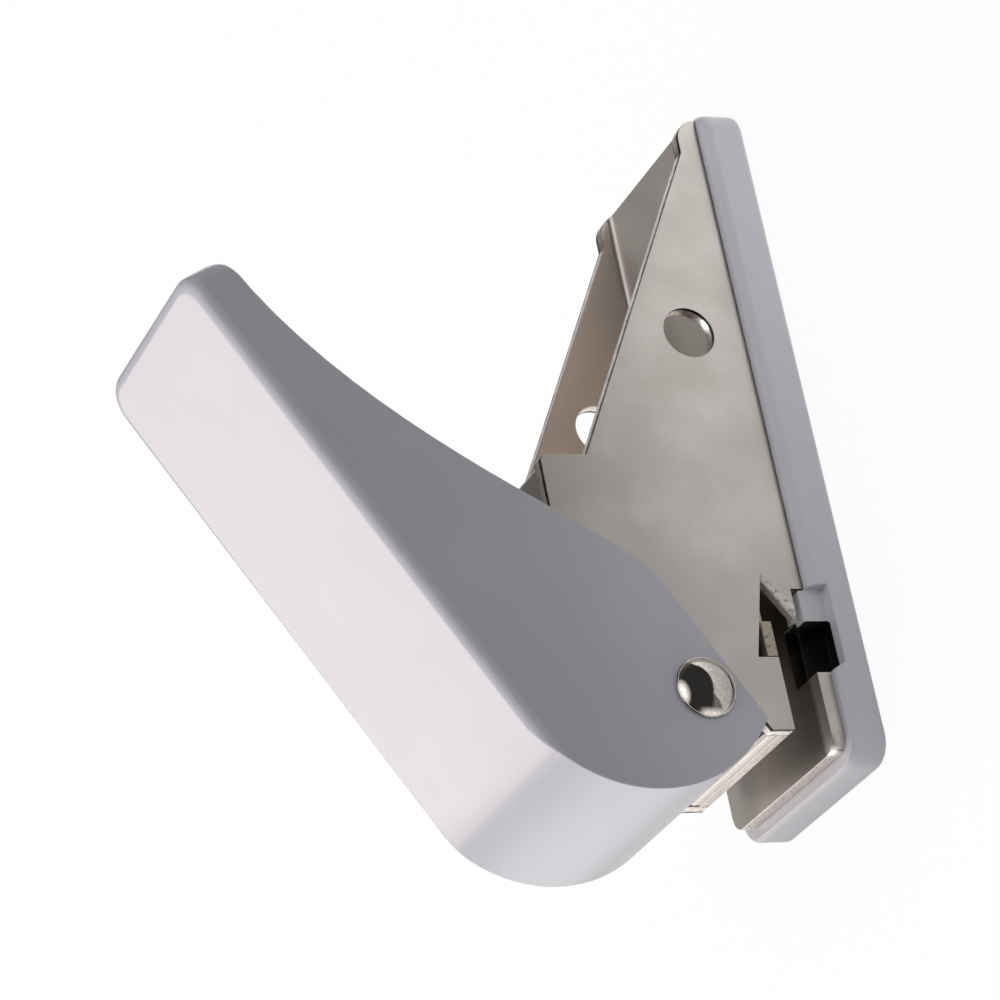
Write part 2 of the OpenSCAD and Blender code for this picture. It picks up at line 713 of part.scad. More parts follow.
// Half section of the lever's edge, from an inner line out to its rounded upper edge
module crown_section(reach) {
    translate([0, -tail_r]) square([reach, tail_r + lever_top_up - lever_edge_r]);
    translate([0, -tail_r]) square([reach - lever_edge_r, tail_r + lever_top_up]);
    translate([reach - lever_edge_r, lever_top_up - lever_edge_r]) circle(lever_edge_r);
}

// Block that the lever is cut from, with a round upper edge and round upright corners at the tip
module lever_block() {
    side_l = 2 * tail_r + lever_reach - tip_corner_r;
    tip_w = lever_w - 2 * tip_corner_r;
    translate([-2 * tail_r, 0, 0]) rotate([90, 0, 90]) linear_extrude(side_l)
        for (s = [0, 1]) mirror([s, 0]) crown_section(lever_w / 2);
    across(tip_w) crown_section(lever_reach);
    for (s = [-1, 1]) translate([lever_reach - tip_corner_r, s * tip_w / 2, 0])
        rotate_extrude() crown_section(tip_corner_r);
}

// Lever shell: the block cut to the side view and hollowed from below
module lever_shell() {
    difference() {
        intersection() {
            across(lever_w + 2 * past) lever_outline();
            lever_block();
        }
        across(lever_gap_w) lever_hollow();
    }
}

// Moulded lever with its cam rib and cross ribs
module lever() color("#d6d4d8") in_lever() difference() {
    union() {
        lever_shell();
        across(cam_w) cam_outline();
        for (i = [0:rib_count - 1])
            translate([rib_at + i * rib_pitch, -lever_gap_w / 2 - cheek_t / 2, lever_inner_up - rib_h])
                cube([rib_t, lever_gap_w + cheek_t, rib_h + lever_top_t / 2]);
    }
    cross_bar(rivet_d / 2 + running_gap, lever_w + 2 * past);
}

base_shoe();
frame();
guide_bracket();
pivot_rivet();
rivet_cap();
pivot_spacer();
punch_plunger();
punch_blade();
blade_pin();
return_spring();
spring_washer();
retaining_clip();
lever();
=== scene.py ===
import math
import bpy
from mathutils import Matrix, Vector


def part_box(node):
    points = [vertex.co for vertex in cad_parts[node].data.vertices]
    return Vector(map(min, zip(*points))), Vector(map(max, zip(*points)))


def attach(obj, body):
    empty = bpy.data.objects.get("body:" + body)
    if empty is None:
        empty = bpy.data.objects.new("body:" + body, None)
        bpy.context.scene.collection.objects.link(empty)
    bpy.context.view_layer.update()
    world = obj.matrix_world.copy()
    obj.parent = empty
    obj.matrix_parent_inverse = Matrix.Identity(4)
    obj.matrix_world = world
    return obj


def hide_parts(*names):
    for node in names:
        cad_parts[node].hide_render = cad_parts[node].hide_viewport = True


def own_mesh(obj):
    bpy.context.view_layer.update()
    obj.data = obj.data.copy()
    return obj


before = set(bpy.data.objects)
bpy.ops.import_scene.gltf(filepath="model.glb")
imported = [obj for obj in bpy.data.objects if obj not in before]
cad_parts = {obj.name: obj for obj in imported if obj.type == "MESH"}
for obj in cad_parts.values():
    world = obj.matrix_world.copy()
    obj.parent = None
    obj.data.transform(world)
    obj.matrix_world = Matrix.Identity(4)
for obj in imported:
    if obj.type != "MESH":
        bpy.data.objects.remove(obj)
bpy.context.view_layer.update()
scene = bpy.context.scene
mm = 0.001


# colours are sRGB hex, the shader wants linear
def hexColour(text):
    parts = [int(text[i:i + 2], 16) / 255 for i in (1, 3, 5)]
    linear = [c / 12.92 if c <= 0.04045 else ((c + 0.055) / 1.055) ** 2.4 for c in parts]
    return (*linear, 1.0)


# texture scale for a pattern whose marks are this many millimetres apart
def perMm(size):
    return 1000 / size


# one node with its settings, its fixed inputs and its links
def addNode(tree, kind, settings=None, values=None, links=None):
    node = tree.nodes.new(kind)
    for name, value in (settings or {}).items():
        setattr(node, name, value)
    for name, value in (values or {}).items():
        node.inputs[name].default_value = value
    for name, source in (links or {}).items():
        tree.links.new(source, node.inputs[name])
    return node


# every range below is written from, from, to, to, which are these inputs of a Map Range
rangeEnds = ("From Min", "From Max", "To Min", "To Max")


# starts a material, with the place on the piece that its patterns read
def newMaterial(name):
    material = bpy.data.materials.new(name)
    material.use_nodes = True
    tree = material.node_tree
    tree.nodes.clear()
    place = addNode(tree, "ShaderNodeTexCoord").outputs["Object"]
    return material, tree, place


# ends a material: fine relief, the shader and the output
def closeMaterial(tree, look, colour, rough, height):
    bump = addNode(tree, "ShaderNodeBump", {}, look["relief"], {"Height": height})
    shader = addNode(tree, "ShaderNodeBsdfPrincipled", {}, look["fixed"], {
        "Base Color": colour, "Roughness": rough, "Normal": bump.outputs["Normal"]})
    addNode(tree, "ShaderNodeOutputMaterial", links={"Surface": shader.outputs["BSDF"]})


# moulded ABS, light grey: opaque with a soft gloss, hardly clouded, with the grain of a spark-eroded mould,
# which is drawn coarser than the real one so that it shows
absLook = {
    "deep": "#bfbfc6", "pale": "#c7c7cd", "fixed": {"IOR": 1.54},
    "cloud": {"Scale": perMm(9.0), "Detail": 2.0},
    "grain": {"Scale": perMm(0.28), "Detail": 3.0},
    "sheen": {"Scale": perMm(3.5), "Detail": 1.0},
    "rough": (0.1, 0.9, 0.19, 0.23), "relief": {"Strength": 0.08, "Distance": 0.012 * mm},
}


def mouldedAbs(name, look):
    material, tree, place = newMaterial(name)
    cloud, grain, sheen = [
        addNode(tree, "ShaderNodeTexNoise", {}, look[part], {"Vector": place}).outputs["Fac"]
        for part in ("cloud", "grain", "sheen")]
    colour = addNode(tree, "ShaderNodeMix", {"data_type": "RGBA"}, {
        "A": hexColour(look["deep"]), "B": hexColour(look["pale"])}, {"Factor": cloud})
    rough = addNode(tree, "ShaderNodeMapRange", {}, dict(zip(rangeEnds, look["rough"])), {"Value": sheen})
    closeMaterial(tree, look, colour.outputs["Result"], rough.outputs["Result"], grain)
    return material


# nickel-plated steel sheet: warm satin metal, with faint rolling lines along the part, drawn wider than real
# ones so that they show, cloudy handling marks, and painted shade on the throat's floor, darkest towards -Y
nickelLook = {
    "deep": "#d0cbc4", "pale": "#dedad4", "fixed": {"Metallic": 1.0},
    "lineScale": (perMm(7.0), perMm(0.16), perMm(0.16)),
    "lines": {"Scale": 1.0, "Detail": 3.0}, "lineShare": 0.15,
    "cloud": {"Scale": perMm(6.0), "Detail": 5.0},
    "tone": (0.5, 0.9, 0, 1), "rough": (0.45, 0.95, 0.43, 0.33),
    "relief": {"Strength": 0.15, "Distance": 0.002 * mm},
    # painted shade over the throat's floor: its tone, and where it reaches across, at the fold, below the top
    # and towards the end
    "throatShade": "#38322a", "throatShadeAcross": (-6.0 * mm, 6.0 * mm, 0.90, 0.05),
    "throatShadeFold": (-7.7 * mm, -8.4 * mm, 1, 0), "throatShadeTop": (4.7 * mm, 5.2 * mm, 1, 0),
    "throatShadeEnd": (-16.0 * mm, -10.0 * mm, 1, 0),
}


def nickelSheet(name, look):
    material, tree, place = newMaterial(name)
    stretched = addNode(tree, "ShaderNodeMapping", {}, {"Scale": look["lineScale"]}, {"Vector": place})
    lines = addNode(tree, "ShaderNodeTexNoise", {}, look["lines"], {
        "Vector": stretched.outputs["Vector"]}).outputs["Fac"]
    cloud = addNode(tree, "ShaderNodeTexNoise", {}, look["cloud"], {"Vector": place}).outputs["Fac"]
    mixed = addNode(tree, "ShaderNodeMath", {"operation": "MULTIPLY_ADD"}, {1: look["lineShare"]}, {
        0: lines, 2: cloud}).outputs["Value"]
    tone, rough = [
        addNode(tree, "ShaderNodeMapRange", {}, dict(zip(rangeEnds, look[part])), {
            "Value": mixed}).outputs["Result"]
        for part in ("tone", "rough")]
    colour = addNode(tree, "ShaderNodeMix", {"data_type": "RGBA"}, {
        "A": hexColour(look["deep"]), "B": hexColour(look["pale"])}, {"Factor": tone})
    # painted shade: the floor of the throat is darkened, most towards -Y
    sides = addNode(tree, "ShaderNodeSeparateXYZ", links={"Vector": place}).outputs
    paintedShade, *shadeMasks = [
        addNode(tree, "ShaderNodeMapRange", {}, dict(zip(rangeEnds, look[part])), {
            "Value": sides[side]}).outputs["Result"]
        for side, part in (("Y", "throatShadeAcross"), ("Y", "throatShadeFold"), ("Z", "throatShadeTop"), ("X", "throatShadeEnd"))]
    for mask in shadeMasks:
        paintedShade = addNode(tree, "ShaderNodeMath", {"operation": "MULTIPLY"}, {}, {
            0: paintedShade, 1: mask}).outputs["Value"]
    shadedColour = addNode(tree, "ShaderNodeMix", {"data_type": "RGBA"}, {"B": hexColour(look["throatShade"])}, {
        "Factor": paintedShade, "A": colour.outputs["Result"]})
    closeMaterial(tree, look, shadedColour.outputs["Result"], rough, lines)
    return material


# sheared edge of the plated sheet: across its thickness a dull torn band, a bright burnished one and a dark
# band at the rolled corner, which is painted shade, with a ragged border and specks
shearedLook = {
    "torn": "#d6cec7", "burnished": "#f4f0ea", "rolled": "#38332d", "fixed": {"Metallic": 1.0},
    "speck": {"Scale": perMm(0.22), "Detail": 4.0}, "specks": (0.36, 0.46, 0.65, 1),
    "tear": {"Scale": perMm(0.9), "Detail": 5.0}, "tearShare": 0.3, "tearMiddle": 0.15,
    "depth": (7.7 * mm, 9.0 * mm, 0, 1), "bright": (0.10, 0.30, 0, 1), "dark": (0.66, 0.80, 0, 1),
    "rough": (0.3, 0.7, 0.26, 0.42), "relief": {"Strength": 0.20, "Distance": 0.02 * mm},
}


def shearedSteel(name, look):
    material, tree, place = newMaterial(name)
    speck, tear = [
        addNode(tree, "ShaderNodeTexNoise", {}, look[part], {"Vector": place}).outputs["Fac"]
        for part in ("speck", "tear")]
    sideways = addNode(tree, "ShaderNodeSeparateXYZ", links={"Vector": place}).outputs["Y"]
    across = addNode(tree, "ShaderNodeMath", {"operation": "ABSOLUTE"}, {}, {0: sideways}).outputs["Value"]
    depth = addNode(tree, "ShaderNodeMapRange", {}, dict(zip(rangeEnds, look["depth"])), {"Value": across})
    ragged = addNode(tree, "ShaderNodeMath", {"operation": "MULTIPLY_ADD"}, {1: look["tearShare"]}, {
        0: tear, 2: depth.outputs["Result"]})
    band = addNode(tree, "ShaderNodeMath", {"operation": "SUBTRACT"}, {1: look["tearMiddle"]}, {
        0: ragged.outputs["Value"]}).outputs["Value"]
    bright, dark, spots, rough = [
        addNode(tree, "ShaderNodeMapRange", {}, dict(zip(rangeEnds, look[part])), {
            "Value": source}).outputs["Result"]
        for part, source in (("bright", band), ("dark", band), ("specks", speck), ("rough", tear))]
    inner = addNode(tree, "ShaderNodeMix", {"data_type": "RGBA"}, {
        "A": hexColour(look["torn"]), "B": hexColour(look["burnished"])}, {"Factor": bright})
    # the rolled band's tone is painted: shade on the cut edges, a highlight on the tooth
    colour = addNode(tree, "ShaderNodeMix", {"data_type": "RGBA"}, {"B": hexColour(look["rolled"])}, {
        "Factor": dark, "A": inner.outputs["Result"]})
    specked = addNode(
        tree, "ShaderNodeMix", {"data_type": "RGBA", "blend_type": "MULTIPLY"}, {"Factor": 1.0},
        {"A": colour.outputs["Result"], "B": spots})
    closeMaterial(tree, look, specked.outputs["Result"], rough, speck)
    return material


# bright nickel plate on the rivet: nearly a mirror, with a little waviness and dust-fine scuffs, which are
# drawn coarser than real ones so that they show
rivetLook = {
    "tint": "#d8d3cc", "dull": "#bfb9b1", "fixed": {"Metallic": 1.0},
    "wave": {"Scale": perMm(1.4), "Detail": 2.0}, "scuff": {"Scale": perMm(0.25), "Detail": 4.0},
    "tone": (0.3, 0.6, 0, 1), "rough": (0.35, 0.6, 0.13, 0.05),
    "relief": {"Strength": 0.25, "Distance": 0.02 * mm},
}


def brightNickel(name, look):
    material, tree, place = newMaterial(name)
    wave, scuff = [
        addNode(tree, "ShaderNodeTexNoise", {}, look[part], {"Vector": place}).outputs["Fac"]
        for part in ("wave", "scuff")]
    tone, rough = [
        addNode(tree, "ShaderNodeMapRange", {}, dict(zip(rangeEnds, look[part])), {
            "Value": scuff}).outputs["Result"]
        for part in ("tone", "rough")]
    colour = addNode(tree, "ShaderNodeMix", {"data_type": "RGBA"}, {
        "A": hexColour(look["dull"]), "B": hexColour(look["tint"])}, {"Factor": tone})
    closeMaterial(tree, look, colour.outputs["Result"], rough, wave)
    return material


# ground and drawn steel: neutral grey metal, with lines along the punch axis, drawn wider than real ones so
# that they show
groundLook = {
    "deep": "#8f8f91", "pale": "#b4b4b6", "fixed": {"Metallic": 1.0},
    "lineScale": (perMm(0.18), perMm(0.18), perMm(5.0)), "lines": {"Scale": 1.0, "Detail": 4.0},
    "tone": (0.3, 0.7, 0, 1), "rough": (0.3, 0.7, 0.22, 0.40),
    "relief": {"Strength": 0.4, "Distance": 0.003 * mm},
}
wireLook = {
    **groundLook, "deep": "#66676b", "pale": "#8e8f94", "lineScale": (perMm(0.2), perMm(0.2), perMm(1.2))}


def groundSteel(name, look):
    material, tree, place = newMaterial(name)
    stretched = addNode(tree, "ShaderNodeMapping", {}, {"Scale": look["lineScale"]}, {"Vector": place})
    lines = addNode(tree, "ShaderNodeTexNoise", {}, look["lines"], {
        "Vector": stretched.outputs["Vector"]}).outputs["Fac"]
    tone, rough = [
        addNode(tree, "ShaderNodeMapRange", {}, dict(zip(rangeEnds, look[part])), {
            "Value": lines}).outputs["Result"]
        for part in ("tone", "rough")]
    colour = addNode(tree, "ShaderNodeMix", {"data_type": "RGBA"}, {
        "A": hexColour(look["deep"]), "B": hexColour(look["pale"])}, {"Factor": tone})
    closeMaterial(tree, look, colour.outputs["Result"], rough, lines)
    return material


leverAbs = mouldedAbs("mouldedAbsLever", absLook)
shoeAbs = mouldedAbs("mouldedAbsShoe", {
    **absLook, "deep": "#c9c9cf", "pale": "#d0d0d5", "rough": (0.1, 0.9, 0.27, 0.31)})
pocketShadeAbs = mouldedAbs("mouldedAbsPocketShade", {  # painted shade: the inside of the shoe's pocket, near black
    **absLook, "deep": "#191816", "pale": "#22211e", "rough": (0.1, 0.9, 0.5, 0.6)})
platedSteel = nickelSheet("nickelPlatedSteel", nickelLook)
# painted light: a paler, warmer copy of the plating for the inner faces of the side plates
innerLitNickel = nickelSheet("nickelPlatePaintedLight", {**nickelLook, "deep": "#ece0d6", "pale": "#f5ebe2"})
tornSteel = shearedSteel("shearedPlatedSteel", shearedLook)
toothHighlightSteel = shearedSteel("toothSteelPaintedHighlight", {  # painted highlight: near white and hardly metallic, so the burnished cut face of the tooth shows bright
    **shearedLook, "torn": "#e6dfd6", "rolled": "#fcfaf6", "fixed": {"Metallic": 0.15},
    "speck": {"Scale": perMm(0.5), "Detail": 4.0}, "specks": (0.36, 0.46, 0.4, 1)})
tabSteel = shearedSteel("tornTabSteel", {  # torn all over, so it has no bands
    **shearedLook, "torn": "#b4ab98", "burnished": "#b4ab98", "rolled": "#b4ab98", "fixed": {"Metallic": 0.3},
    "speck": {"Scale": perMm(0.45), "Detail": 4.0}, "specks": (0.36, 0.46, 0.45, 1)})
# painted shade: near black cut faces of the floor beside the die
notchShadeSteel = shearedSteel("dieSteelPaintedShade", {
    **shearedLook, "torn": "#2b2723", "burnished": "#39342f", "rolled": "#26221f"})
rivetNickel = brightNickel("brightNickelPlate", rivetLook)
plainSteel = groundSteel("groundSteel", groundLook)
springSteel = groundSteel("drawnSpringSteel", wireLook)
print("materials made:", len(bpy.data.materials))


def soloSelect(piece):
    bpy.ops.object.select_all(action="DESELECT")
    piece.select_set(True)
    bpy.context.view_layer.objects.active = piece


# opens a piece for editing, with all of it selected
def openAll(piece):
    soloSelect(piece)
    bpy.ops.object.mode_set(mode="EDIT")
    bpy.ops.mesh.select_all(action="SELECT")


# points closer than this are one: on a copied node, after a bevel, and on a turned or wound piece
sameSpot = {"copied": 0.012 * mm, "eased": 0.0005 * mm, "turned": 0.002 * mm}
sameFace = math.radians(0.3)  # flat faces of a copied node are joined up to this angle


# copy of a node's mesh, merged and with its flat faces whole, to be worked on
def mergedCopy(nodeName, pieceName, *coats):
    piece = bpy.data.objects.new(pieceName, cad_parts[nodeName].data.copy())
    piece.data.name = pieceName
    piece.data.materials.clear()
    for coat in coats:
        piece.data.materials.append(coat)
    scene.collection.objects.link(piece)
    soloSelect(piece)
    bpy.ops.mesh.customdata_custom_splitnormals_clear()
    openAll(piece)
    bpy.ops.mesh.remove_doubles(threshold=sameSpot["copied"])
    bpy.ops.mesh.dissolve_limited(angle_limit=sameFace, delimit=set())
    bpy.ops.object.mode_set(mode="OBJECT")
    return piece


# edges that turn by more than this many degrees are eased, unless a piece has its own "sharpest"
sharpest = 32
flatWeight = 100  # flat faces keep their own direction in the shading


# rounds the sharp edges and shades the rest smooth
def easeEdges(piece, parts):
    soloSelect(piece)
    angle = math.radians(parts.get("sharpest", sharpest))
    bevel = piece.modifiers.new("easedEdges", "BEVEL")
    bevel.width = parts["edge"]
    bevel.segments = parts["segments"]
    bevel.limit_method = "ANGLE"
    bevel.angle_limit = angle
    bevel.use_clamp_overlap = False
    bevel.miter_outer = "MITER_ARC"
    bpy.ops.object.modifier_apply(modifier=bevel.name)
    openAll(piece)
    bpy.ops.mesh.remove_doubles(threshold=sameSpot["eased"])
    bpy.ops.mesh.dissolve_degenerate(threshold=sameSpot["eased"])
    bpy.ops.object.mode_set(mode="OBJECT")
    bpy.ops.object.shade_smooth_by_angle(angle=angle)
    even = piece.modifiers.new("evenShading", "WEIGHTED_NORMAL")
    even.mode = "FACE_AREA"
    even.weight = flatWeight
    even.keep_sharp = True
    bpy.ops.object.modifier_apply(modifier=even.name)


# the piece stands for a node, which is hidden, and moves with its body
def standFor(piece, nodeName, body):
    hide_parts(nodeName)
    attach(piece, body)


# share of a face's direction that lies along an axis
hardly, half, mostly, fully = 0.05, 0.5, 0.9, 0.95


# gives the faces that a test picks out another of the piece's materials, before their edges are eased
def markFaces(piece, isPicked, coat):
    index = piece.data.materials.find(coat.name)
    for face in piece.data.polygons:
        if isPicked(face.center, face.normal):
            face.material_index = index


# lever: the crease is already round, the other edges only lose their sharpness
leverParts = {"edge": 0.16 * mm, "segments": 3, "sharpest": 20}
leverShell = mergedCopy("lever", "leverShell", leverAbs)
easeEdges(leverShell, leverParts)
standFor(leverShell, "lever", "lever")
print("lever:", len(leverShell.data.polygons), "faces")

# shoe: soft moulded rim, and a pocket beside the die whose inside is painted shade, near black
shoeParts = {
    "edge": 0.14 * mm, "segments": 3, "pocketAlong": (-23.0 * mm, -17.7 * mm),
    "pocketAcross": (5.0 * mm, 9.04 * mm), "pocketUp": (0.5 * mm, 3.45 * mm),
}


def inPocket(place, normal):
    reaches = (shoeParts["pocketAlong"], shoeParts["pocketAcross"], shoeParts["pocketUp"])
    return all(low < spot < high for spot, (low, high) in zip((place.x, abs(place.y), place.z), reaches))


shoeTray = mergedCopy("base_shoe", "shoeTray", shoeAbs, pocketShadeAbs)
markFaces(shoeTray, inPocket, pocketShadeAbs)
easeEdges(shoeTray, shoeParts)
standFor(shoeTray, "base_shoe", "base")
print("shoe:", len(shoeTray.data.polygons), "faces")

# frame: folded sheet, its cut edges bright
frameParts = {
    "edge": 0.08 * mm, "segments": 2, "floorTop": 4.8 * mm, "foldTop": 5.05 * mm, "plateAbove": 10 * mm,
    "toothFrom": Vector((-13.95, 0, 7.75)) * mm, "toothTo": Vector((-17.85, 0, 5.2)) * mm,
    "toothRound": 0.55 * mm, "toothSegments": 5, "toothDown": -0.3, "near": 0.15 * mm, "notchIn": 7.6 * mm,
}


# cut ends of the floor and cut edges of the side plates
def isSheared(place, normal):
    inFloor = place.z < frameParts["floorTop"] and abs(normal.z) < hardly and abs(normal.y) < half
    inPlate = place.z > frameParts["foldTop"] and abs(normal.y) < hardly
    return inFloor or inPlate


# cut face of the tooth that ends the throat
def isTooth(place, normal):
    along = frameParts["toothTo"].x - frameParts["near"] < place.x < frameParts["toothFrom"].x
    cutDown = abs(normal.y) < hardly and normal.z < frameParts["toothDown"]
    return along and cutDown and place.z > frameParts["foldTop"]


# cut faces of the floor beside the die, near black with painted shade
def inNotch(place, normal):
    return place.z < frameParts["floorTop"] and abs(normal.y) > half and abs(place.y) < frameParts["notchIn"]


# inner faces of the side plates, which take a paler, warmer copy of the plating as painted light
def isInner(place, normal):
    return abs(normal.y) > mostly and normal.y * place.y < 0 and place.z > frameParts["foldTop"]


frameSheet = mergedCopy("frame", "frameSheet", platedSteel, tornSteel, toothHighlightSteel, notchShadeSteel, innerLitNickel)
for isPicked, coat in (
        (isInner, innerLitNickel), (isSheared, tornSteel), (isTooth, toothHighlightSteel), (inNotch, notchShadeSteel)):
    markFaces(frameSheet, isPicked, coat)


# edges whose two ends lie on the line between two places of the side view
def selectAlong(piece, start, end, outerY):
    soloSelect(piece)
    bpy.ops.object.mode_set(mode="EDIT")
    bpy.ops.mesh.select_all(action="DESELECT")
    bpy.ops.object.mode_set(mode="OBJECT")
    near = frameParts["near"]
    line, reach = (end - start).normalized(), (end - start).length
    chosen = 0
    for edge in piece.data.edges:
        ends = [piece.data.vertices[i].co for i in edge.vertices]
        flat = [Vector((p.x, 0, p.z)) - start for p in ends]
        offLine = max((f - line * f.dot(line)).length for f in flat)
        inReach = all(-near < f.dot(line) < reach + near for f in flat)
        if offLine < near and inReach and all(abs(p.y) > outerY for p in ends):
            edge.select = True
            chosen += 1
    return chosen


# the shear rolled the tooth's outer edge over, so it catches the light; the rolled faces also take the
# tooth's painted highlight
plateFace = max(v.co.y for v in frameSheet.data.vertices if v.co.z > frameParts["plateAbove"])
toothEdges = selectAlong(
    frameSheet, frameParts["toothFrom"], frameParts["toothTo"], plateFace - frameParts["near"])
bpy.ops.object.mode_set(mode="EDIT")
bpy.ops.mesh.bevel(
    offset=frameParts["toothRound"], segments=frameParts["toothSegments"], affect="EDGES",
    material=frameSheet.data.materials.find(toothHighlightSteel.name))
bpy.ops.object.mode_set(mode="OBJECT")
print("tooth edges rolled:", toothEdges)
easeEdges(frameSheet, frameParts)
standFor(frameSheet, "frame", "base")
print("frame:", len(frameSheet.data.polygons), "faces")

# guide bracket: the same sheet, its tab ends and web ends show their torn steel
guideParts = {"edge": 0.08 * mm, "segments": 2, "webEnd": -20.0 * mm}


# rear ends of the webs
def isWebEnd(place, normal):
    return abs(normal.x) > fully and place.x < guideParts["webEnd"]


# ends of the tabs, which fill the windows of the side plates
def isTabEnd(place, normal):
    return abs(normal.y) > fully


guideSheet = mergedCopy("guide_bracket", "guideSheet", platedSteel, tornSteel, tabSteel)
markFaces(guideSheet, isWebEnd, tornSteel)
markFaces(guideSheet, isTabEnd, tabSteel)
easeEdges(guideSheet, guideParts)
standFor(guideSheet, "guide_bracket", "base")
print("bracket:", len(guideSheet.data.polygons), "faces")

# lip that the lower web turns up at its rear edge, between the side plates: upright, then leaning in
lipParts = {
    "edge": 0.14 * mm, "segments": 3, "rear": -27.8 * mm, "thick": 0.9 * mm, "half": 7.5 * mm,
    "sink": 0.05 * mm, "upright": (0, 0, 0.75 * mm), "leaning": (0.25 * mm, 0, 0.375 * mm),
}
webTop = max(v.co.z for v in guideSheet.data.vertices if v.co.x < lipParts["rear"] + lipParts["thick"])
bpy.ops.object.select_all(action="DESELECT")
bpy.ops.mesh.primitive_plane_add(size=1, location=(
    lipParts["rear"] + lipParts["thick"] / 2, 0, webTop - lipParts["sink"]))
guideLip = bpy.context.object
guideLip.name = guideLip.data.name = "guideLip"
guideLip.scale = (lipParts["thick"], 2 * lipParts["half"], 1)
bpy.ops.object.transform_apply(location=True, rotation=True, scale=True)
bpy.ops.object.mode_set(mode="EDIT")
for step in (lipParts["upright"], lipParts["leaning"]):
    bpy.ops.mesh.extrude_region_move(TRANSFORM_OT_translate={"value": step})
bpy.ops.mesh.select_all(action="SELECT")
bpy.ops.mesh.normals_make_consistent(inside=False)
bpy.ops.object.mode_set(mode="OBJECT")
guideLip.data.materials.append(platedSteel)
easeEdges(guideLip, lipParts)
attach(guideLip, "base")
print("bracket lip:", len(guideLip.data.polygons), "faces")

# rivet and cap: a thin flange, a fine groove and a dome, with the shank behind
rivetParts = {
    "shank": 1.5 * mm, "shankChamfer": 0.2 * mm, "flange": 0.20 * mm, "groove": 0.03 * mm, "foot": 2.53 * mm,
    "round": 0.07 * mm, "domeSteps": 14, "capDepth": 0.6 * mm, "capBore": 1.53 * mm,
    "seed": 0.1 * mm, "spinSteps": 72, "smooth": math.radians(28),
}


# draws a half section point by point and spins it round an axis that runs along Y
def turnedPiece(name, section, axisX, axisZ):
    bpy.ops.object.select_all(action="DESELECT")
    bpy.ops.mesh.primitive_plane_add(size=rivetParts["seed"], location=(0, 0, 0))
    piece = bpy.context.object
    piece.name = piece.data.name = name
    start = Vector((axisX + section[0][0], section[0][1], axisZ))
    bpy.ops.object.mode_set(mode="EDIT")
    bpy.ops.mesh.merge(type="CENTER")  # the plane becomes the first point of the section
    bpy.ops.transform.translate(value=start)
    for here, there in zip(section, section[1:]):
        step = (there[0] - here[0], there[1] - here[1], 0)
        bpy.ops.mesh.extrude_region_move(TRANSFORM_OT_translate={"value": step})
    bpy.ops.mesh.select_all(action="SELECT")
    bpy.ops.mesh.spin(
        steps=rivetParts["spinSteps"], angle=2 * math.pi, center=(axisX, 0, axisZ), axis=(0, 1, 0))
    bpy.ops.mesh.select_all(action="SELECT")
    bpy.ops.mesh.remove_doubles(threshold=sameSpot["turned"])
    bpy.ops.mesh.normals_make_consistent(inside=False)
    bpy.ops.object.mode_set(mode="OBJECT")
    return piece


# points from the seat over the flange and the dome to the crown, with side giving the way along Y
def headSection(seat, crown, side):
    corner, flange, foot = rivetParts["round"], rivetParts["flange"], rivetParts["foot"]
    rise = abs(crown - seat) - flange
    ball = (foot ** 2 + rise ** 2) / (2 * rise)
    turn = math.asin(foot / ball)
    points = [
        (headRadius - corner, seat), (headRadius, seat + side * corner),
        (headRadius, seat + side * (flange - corner)), (headRadius - corner, seat + side * flange),
        (foot + rivetParts["groove"], seat + side * flange)]
    for i in range(rivetParts["domeSteps"] + 1):
        angle = turn * (1 - i / rivetParts["domeSteps"])
        points.append((ball * math.sin(angle), crown - side * (ball - ball * math.cos(angle))))
    return points


rivetLow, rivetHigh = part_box("pivot_rivet")
capLow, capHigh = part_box("rivet_cap")
pivotX, pivotZ = (rivetLow.x + rivetHigh.x) / 2, (rivetLow.z + rivetHigh.z) / 2
headRadius = (rivetHigh.x - rivetLow.x) / 2
seatY = capLow.y
shank, chamfer = rivetParts["shank"], rivetParts["shankChamfer"]
bore, boreEnd = rivetParts["capBore"], seatY + rivetParts["capDepth"]
rivetSection = [
    (0, rivetHigh.y), (shank - chamfer, rivetHigh.y), (shank, rivetHigh.y - chamfer), (shank, -seatY),
    *headSection(-seatY, rivetLow.y, -1)]
capSection = [(0, boreEnd), (bore, boreEnd), (bore, seatY), *headSection(seatY, capHigh.y, 1)]
for name, section, node in (
        ("rivetHead", rivetSection, "pivot_rivet"), ("rivetCapDome", capSection, "rivet_cap")):
    rivetPiece = turnedPiece(name, section, pivotX, pivotZ)
    rivetPiece.data.materials.append(rivetNickel)
    soloSelect(rivetPiece)
    bpy.ops.object.shade_smooth_by_angle(angle=rivetParts["smooth"])
    standFor(rivetPiece, node, "base")
print("rivet and cap made")

# punch pieces and spacer: turned and ground steel with eased edges
steelParts = {
    "pivot_spacer": {"name": "spacerTube", "body": "base", "edge": 0.12 * mm, "steel": plainSteel},
    "punch_plunger": {"name": "plungerRod", "body": "punch", "edge": 0.10 * mm, "steel": plainSteel},
    "punch_blade": {"name": "slotBlade", "body": "punch", "edge": 0.04 * mm, "steel": plainSteel},
    "blade_pin": {"name": "bladeCrossPin", "body": "punch", "edge": 0.10 * mm, "steel": plainSteel},
    "spring_washer": {"name": "springWasherRing", "body": "punch", "edge": 0.08 * mm, "steel": plainSteel},
    "retaining_clip": {"name": "plungerClip", "body": "punch", "edge": 0.08 * mm, "steel": springSteel},
}
steelSegments = 2
for node, parts in steelParts.items():
    steelPiece = mergedCopy(node, parts["name"], parts["steel"])
    easeEdges(steelPiece, {**parts, "segments": steelSegments})
    standFor(steelPiece, node, parts["body"])
print("steel pieces made:", len(steelParts))
